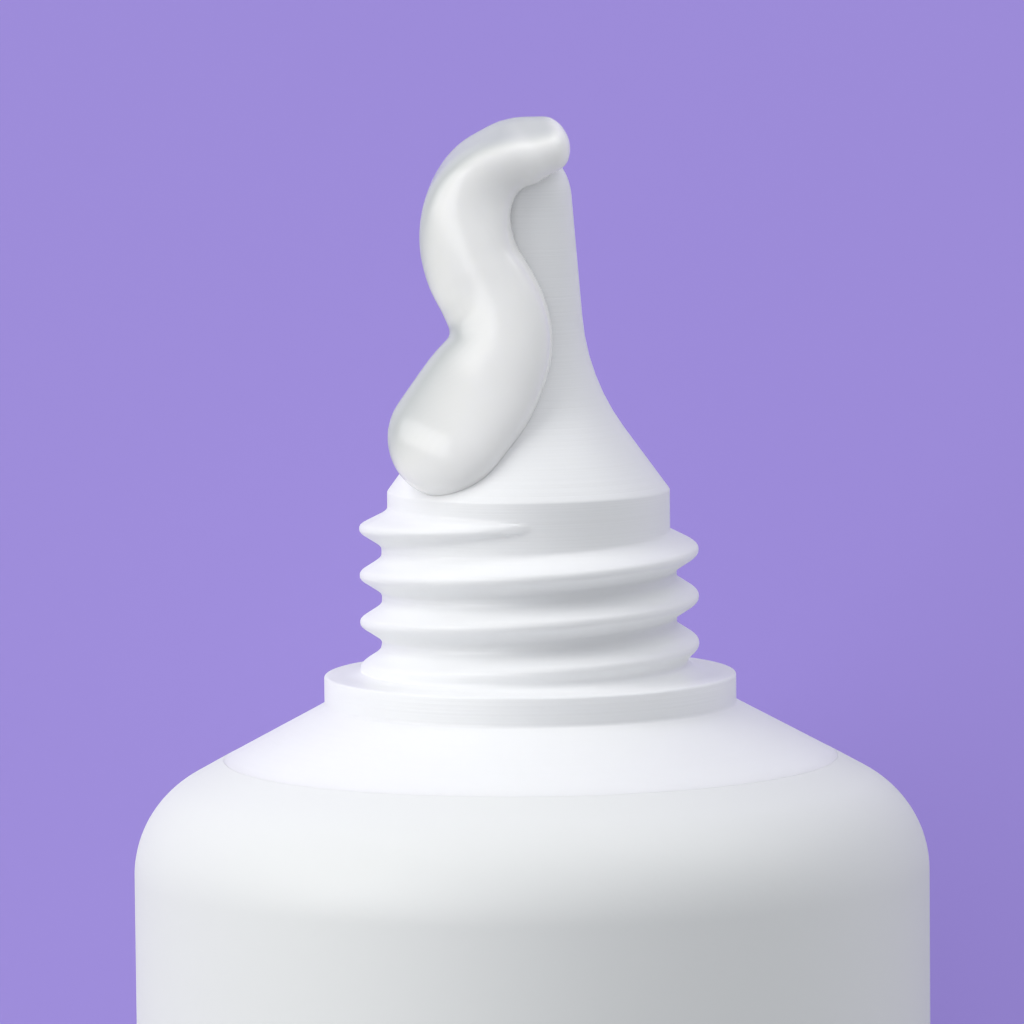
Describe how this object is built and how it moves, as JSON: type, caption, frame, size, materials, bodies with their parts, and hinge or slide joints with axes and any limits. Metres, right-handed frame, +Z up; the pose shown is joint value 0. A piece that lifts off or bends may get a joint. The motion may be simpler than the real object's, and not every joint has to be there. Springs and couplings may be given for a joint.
{
  "type": "skin gel tube",
  "caption": "Uncapped soft squeeze tube of skin gel with a long tapered nozzle, screw neck, sloping shoulder and flat sealed tail, a bead of gel squeezed out at the tip.",
  "frame": {"origin": "on the surface it lies on, below the middle of its bounding box", "axes": "+Y along the tube towards the nozzle, +Z up from the surface it lies on, +X across the sealed tail"},
  "size_m": [0.0396, 0.1211, 0.0259],
  "materials": {
    "head_plastic": "satin white moulded polyethylene",
    "sleeve_plastic": "soft satin white extruded polyethylene",
    "gel": "wet, milky, translucent gel"
  },
  "bodies": {
    "root": {"head": "head_plastic", "sleeve": "sleeve_plastic", "gel_fill": "gel", "gel_bead": "gel"}
  },
  "joints": []
}
